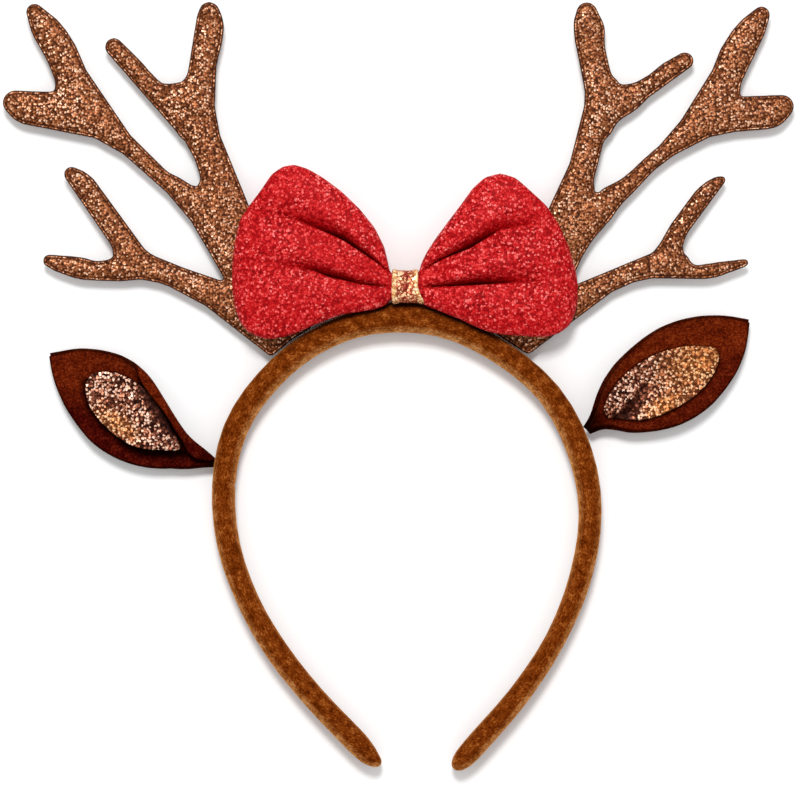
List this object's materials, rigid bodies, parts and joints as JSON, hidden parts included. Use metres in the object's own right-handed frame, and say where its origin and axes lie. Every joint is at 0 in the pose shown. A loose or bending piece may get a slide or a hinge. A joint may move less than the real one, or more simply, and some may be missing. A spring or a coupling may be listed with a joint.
{
  "type": "reindeer antler headband",
  "caption": "Costume headband: padded velour hoop carrying flat glitter antlers, cupped felt ears with glitter patches and a padded glitter bow with a gold wrap.",
  "frame": {"origin": "centre of the bounding box at the surface the headband lies on", "axes": "+X to the viewer's right with the bow facing the viewer, +Y from the hoop's tips to the antlers, +Z out of the front, away from the surface it lies on"},
  "size_m": [0.285, 0.2766, 0.0192],
  "materials": {
    "velour": "short brown velour pile, matte with a soft sheen",
    "antler_glitter": "copper-brown glitter fabric, sparkling",
    "bow_glitter": "red glitter fabric, fine sparkle",
    "knot_glitter": "gold glitter fabric, sparkling",
    "ear_felt": "dark red-brown felt, matte",
    "patch_glitter": "pale copper glitter fabric, sparkling"
  },
  "bodies": {
    "root": {"band": "velour", "antler_left": "antler_glitter", "antler_right": "antler_glitter", "bow": "bow_glitter", "bow_knot": "knot_glitter", "ear_left": "ear_felt", "ear_right": "ear_felt", "ear_patch_left": "patch_glitter", "ear_patch_right": "patch_glitter"}
  },
  "joints": []
}
